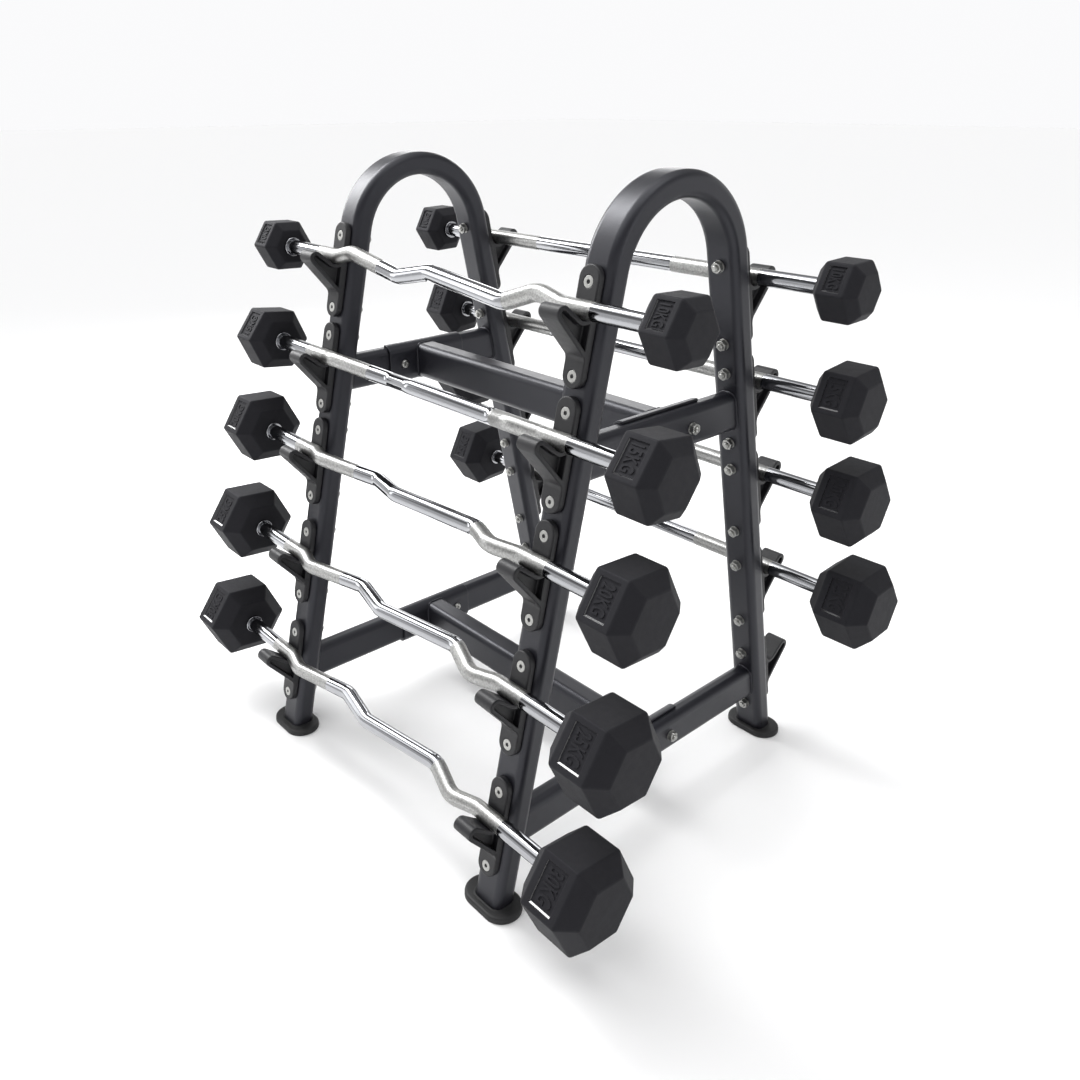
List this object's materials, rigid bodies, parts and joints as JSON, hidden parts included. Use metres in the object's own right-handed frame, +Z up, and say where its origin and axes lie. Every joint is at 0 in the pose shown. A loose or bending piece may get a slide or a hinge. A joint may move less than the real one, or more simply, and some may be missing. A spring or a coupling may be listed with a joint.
{
  "type": "barbell rack",
  "caption": "Free-standing two-sided rack of arched tube with moulded cradles, holding fixed curl and straight barbells with hexagonal rubber heads.",
  "frame": {"origin": "on the floor under the middle of the whole object's box", "axes": "+X along the bars to the right-hand arch, -Y the front with the curl bars, +Z up"},
  "size_m": [1.168, 0.879, 1.1463],
  "materials": {
    "frame_coat": "satin black powder coat on steel tube",
    "foot_rubber": "matte moulded rubber",
    "cradle_plastic": "fine-grained moulded nylon",
    "zinc": "bright zinc plate",
    "chrome": "polished chrome with knurled grips",
    "head_rubber": "matte moulded rubber over cast iron"
  },
  "bodies": {
    "rack": {"arch_right": "frame_coat", "arch_left": "frame_coat", "cross_upper_right": "frame_coat", "cross_upper_left": "frame_coat", "cross_lower_right": "frame_coat", "cross_lower_left": "frame_coat", "beam_upper": "frame_coat", "beam_lower": "frame_coat", "saddle_upper_right": "frame_coat", "saddle_upper_left": "frame_coat", "saddle_lower_right": "frame_coat", "saddle_lower_left": "frame_coat", "foot_front_right": "foot_rubber", "foot_front_left": "foot_rubber", "foot_rear_right": "foot_rubber", "foot_rear_left": "foot_rubber", "cradle_front_1": "cradle_plastic", "cradle_front_2": "cradle_plastic", "cradle_front_3": "cradle_plastic", "cradle_front_4": "cradle_plastic", "cradle_front_5": "cradle_plastic", "cradle_rear_1": "cradle_plastic", "cradle_rear_2": "cradle_plastic", "cradle_rear_3": "cradle_plastic", "cradle_rear_4": "cradle_plastic", "cradle_rear_5": "cradle_plastic", "cradle_screws": "zinc", "cradle_nuts": "zinc", "saddle_bolts": "zinc", "saddle_nuts": "zinc"},
    "curl_barbell_10": {"curl_bar_10": "chrome", "curl_head_10_right": "head_rubber", "curl_head_10_left": "head_rubber"},
    "curl_barbell_15": {"curl_bar_15": "chrome", "curl_head_15_right": "head_rubber", "curl_head_15_left": "head_rubber"},
    "curl_barbell_20": {"curl_bar_20": "chrome", "curl_head_20_right": "head_rubber", "curl_head_20_left": "head_rubber"},
    "curl_barbell_25": {"curl_bar_25": "chrome", "curl_head_25_right": "head_rubber", "curl_head_25_left": "head_rubber"},
    "curl_barbell_30": {"curl_bar_30": "chrome", "curl_head_30_right": "head_rubber", "curl_head_30_left": "head_rubber"},
    "straight_barbell_10": {"straight_bar_10": "chrome", "straight_head_10_right": "head_rubber", "straight_head_10_left": "head_rubber"},
    "straight_barbell_15": {"straight_bar_15": "chrome", "straight_head_15_right": "head_rubber", "straight_head_15_left": "head_rubber"},
    "straight_barbell_20": {"straight_bar_20": "chrome", "straight_head_20_right": "head_rubber", "straight_head_20_left": "head_rubber"},
    "straight_barbell_25": {"straight_bar_25": "chrome", "straight_head_25_right": "head_rubber", "straight_head_25_left": "head_rubber"}
  },
  "joints": [
    {"name": "lift_curl_10", "type": "slide", "parent": "rack", "child": "curl_barbell_10", "axis": [0, -0.7071, 0.7071], "range_m": [0, 0.18]},
    {"name": "lift_curl_15", "type": "slide", "parent": "rack", "child": "curl_barbell_15", "axis": [0, -0.7071, 0.7071], "range_m": [0, 0.18]},
    {"name": "lift_curl_20", "type": "slide", "parent": "rack", "child": "curl_barbell_20", "axis": [0, -0.7071, 0.7071], "range_m": [0, 0.18]},
    {"name": "lift_curl_25", "type": "slide", "parent": "rack", "child": "curl_barbell_25", "axis": [0, -0.7071, 0.7071], "range_m": [0, 0.18]},
    {"name": "lift_curl_30", "type": "slide", "parent": "rack", "child": "curl_barbell_30", "axis": [0, -0.7071, 0.7071], "range_m": [0, 0.18]},
    {"name": "lift_straight_10", "type": "slide", "parent": "rack", "child": "straight_barbell_10", "axis": [0, 0.7071, 0.7071], "range_m": [0, 0.18]},
    {"name": "lift_straight_15", "type": "slide", "parent": "rack", "child": "straight_barbell_15", "axis": [0, 0.7071, 0.7071], "range_m": [0, 0.18]},
    {"name": "lift_straight_20", "type": "slide", "parent": "rack", "child": "straight_barbell_20", "axis": [0, 0.7071, 0.7071], "range_m": [0, 0.18]},
    {"name": "lift_straight_25", "type": "slide", "parent": "rack", "child": "straight_barbell_25", "axis": [0, 0.7071, 0.7071], "range_m": [0, 0.18]}
  ]
}
